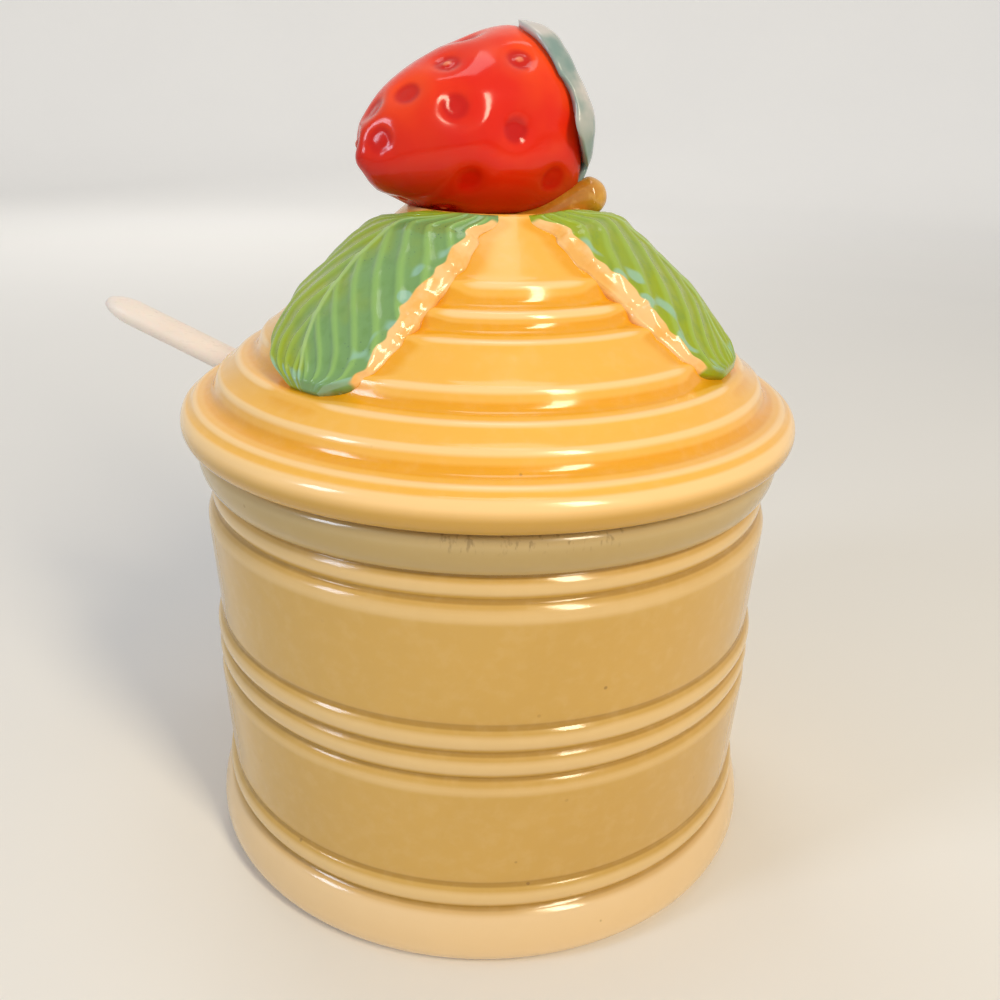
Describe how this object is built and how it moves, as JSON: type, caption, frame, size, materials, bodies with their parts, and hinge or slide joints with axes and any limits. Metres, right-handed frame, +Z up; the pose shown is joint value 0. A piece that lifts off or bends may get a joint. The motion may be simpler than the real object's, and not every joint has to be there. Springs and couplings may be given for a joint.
{
  "type": "lidded jam pot",
  "caption": "Cylindrical ribbed ceramic jam pot with a stepped conical lid, strawberry knob, moulded leaves and a loose curved spoon in a rim notch.",
  "frame": {"origin": "centre of the pot's foot, on the plane it stands on", "axes": "+Z up along the pot's axis, -Y towards the side the picture shows, +X to that view's right"},
  "size_m": [0.1146, 0.0944, 0.1266],
  "materials": {
    "pot_glaze": "glossy pale honey glaze",
    "lid_glaze": "glossy amber glaze, deeper in the grooves",
    "berry_glaze": "glossy red glaze",
    "calyx_glaze": "pale grey-green glaze",
    "twig_glaze": "amber-brown glaze",
    "leaf_glaze": "glossy green glaze with paler veins",
    "spoon_plastic": "glossy cream"
  },
  "bodies": {
    "pot": {"pot": "pot_glaze"},
    "lid": {"lid": "lid_glaze", "strawberry": "berry_glaze", "calyx": "calyx_glaze", "stem": "twig_glaze", "leaf_left": "leaf_glaze", "leaf_right": "leaf_glaze"},
    "spoon": {"spoon": "spoon_plastic"}
  },
  "joints": [
    {"name": "lid_lift", "type": "slide", "parent": "pot", "child": "lid", "axis": [0, 0, 1], "range_m": [0, 0.12]},
    {"name": "spoon_lift", "type": "slide", "parent": "pot", "child": "spoon", "axis": [0, 0, 1], "range_m": [0, 0.072]}
  ],
  "couplings": [
    {"joint": "spoon_lift", "follows": "lid_lift", "ratio": 0.6}
  ]
}
